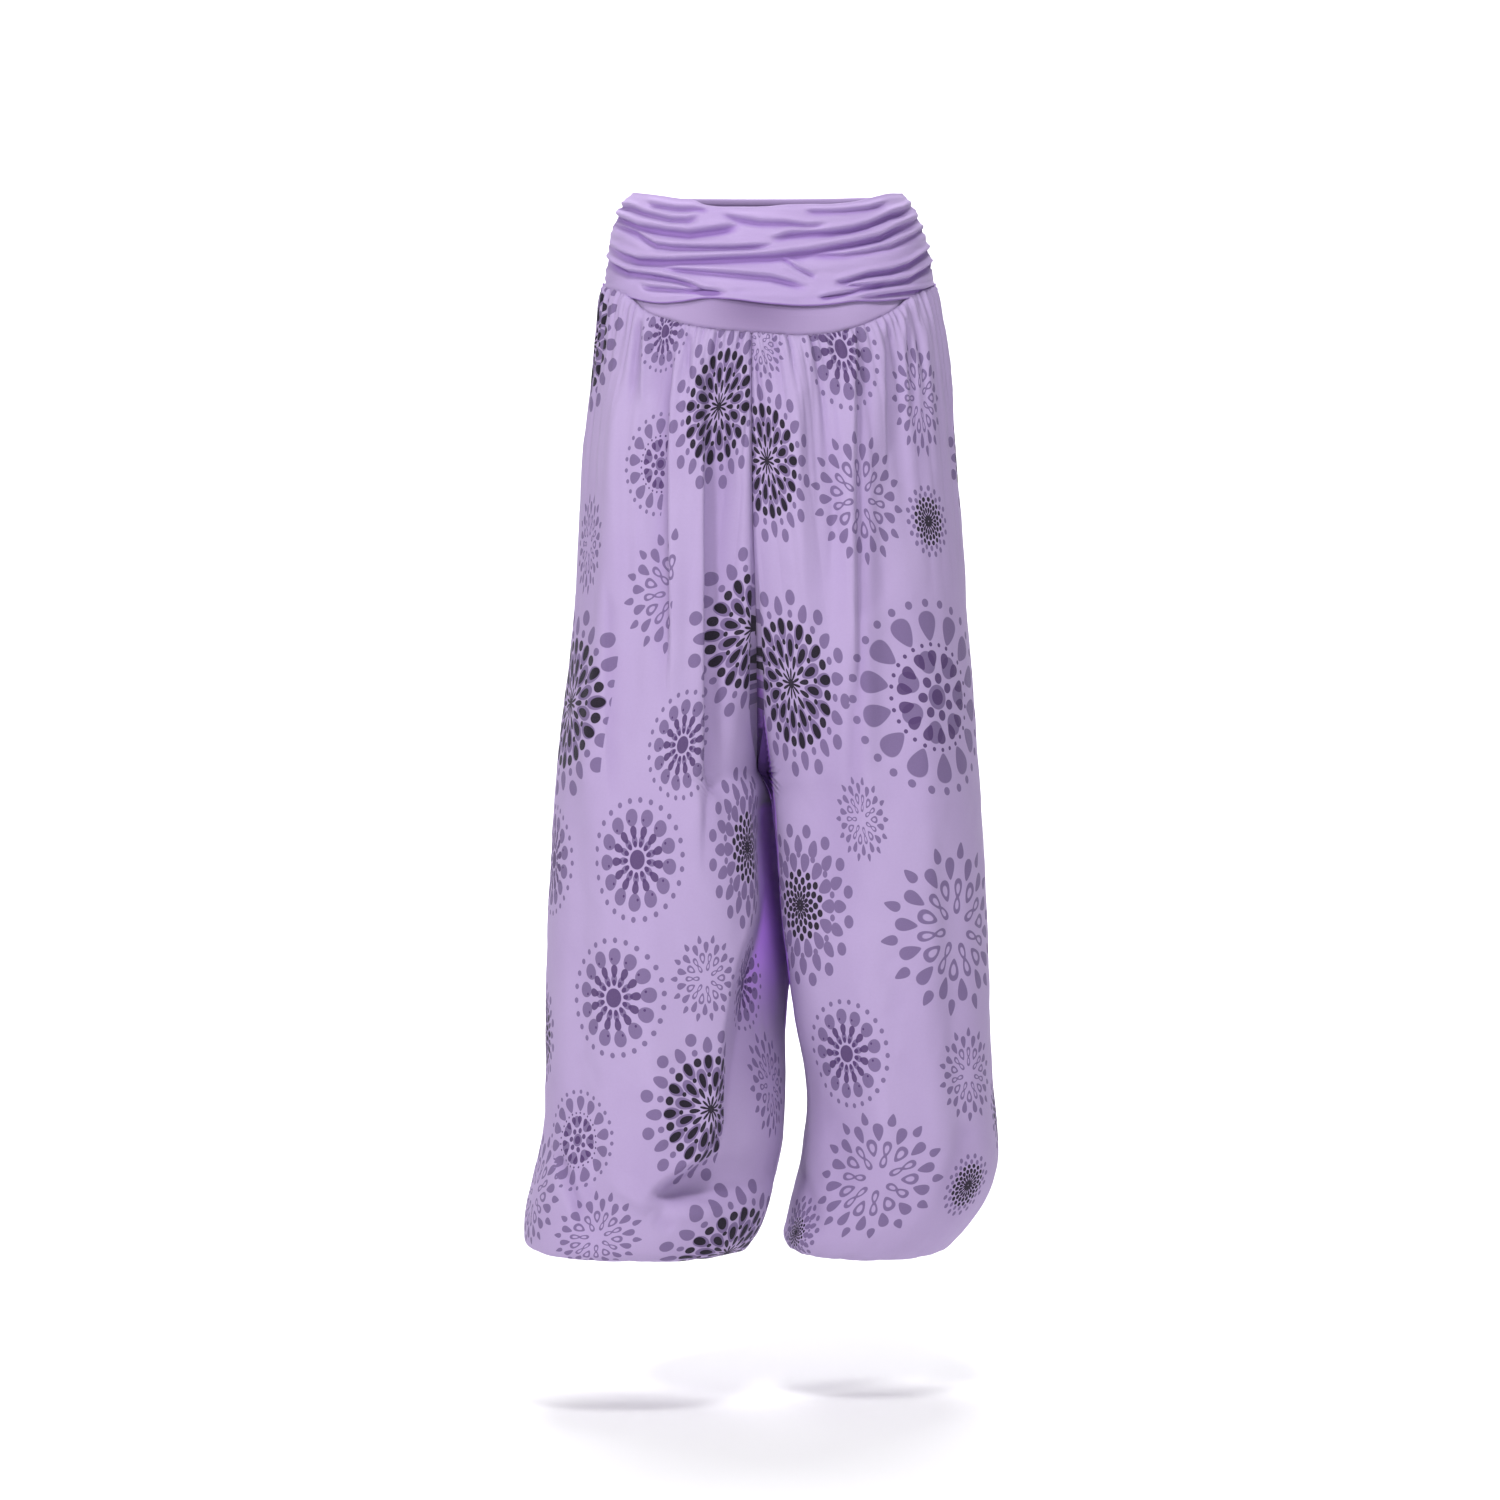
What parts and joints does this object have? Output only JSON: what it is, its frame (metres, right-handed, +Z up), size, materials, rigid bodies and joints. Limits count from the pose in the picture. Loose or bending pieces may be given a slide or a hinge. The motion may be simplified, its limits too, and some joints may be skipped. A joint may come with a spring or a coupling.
{
  "type": "harem trousers",
  "caption": "Wide gathered harem trousers in printed cloth, worn and hollow, with a ruched jersey waist sash over a yoke and legs bloused over elastic ankle casings.",
  "frame": {"origin": "middle of the waist opening, level with the mean height of its rim, where the wearer's waist holds the trousers", "axes": "+Z up, -Y to the wearer's front, +X to the wearer's left"},
  "size_m": [0.4574, 0.3122, 1.0181],
  "materials": {
    "printed_viscose": "soft lilac woven viscose with a grey and black printed pattern",
    "ruched_jersey": "lilac ruched jersey with a faint sheen",
    "plain_jersey": "plain matt jersey, a shade darker",
    "elastic_casing": "gathered woven casing over elastic"
  },
  "bodies": {
    "root": {"sash_front": "ruched_jersey", "sash_back": "ruched_jersey", "yoke_front": "plain_jersey", "yoke_back": "plain_jersey", "right_leg_front": "printed_viscose", "right_leg_back": "printed_viscose", "left_leg_front": "printed_viscose", "left_leg_back": "printed_viscose", "ankle_casing_right": "elastic_casing", "ankle_casing_left": "elastic_casing"}
  },
  "joints": []
}
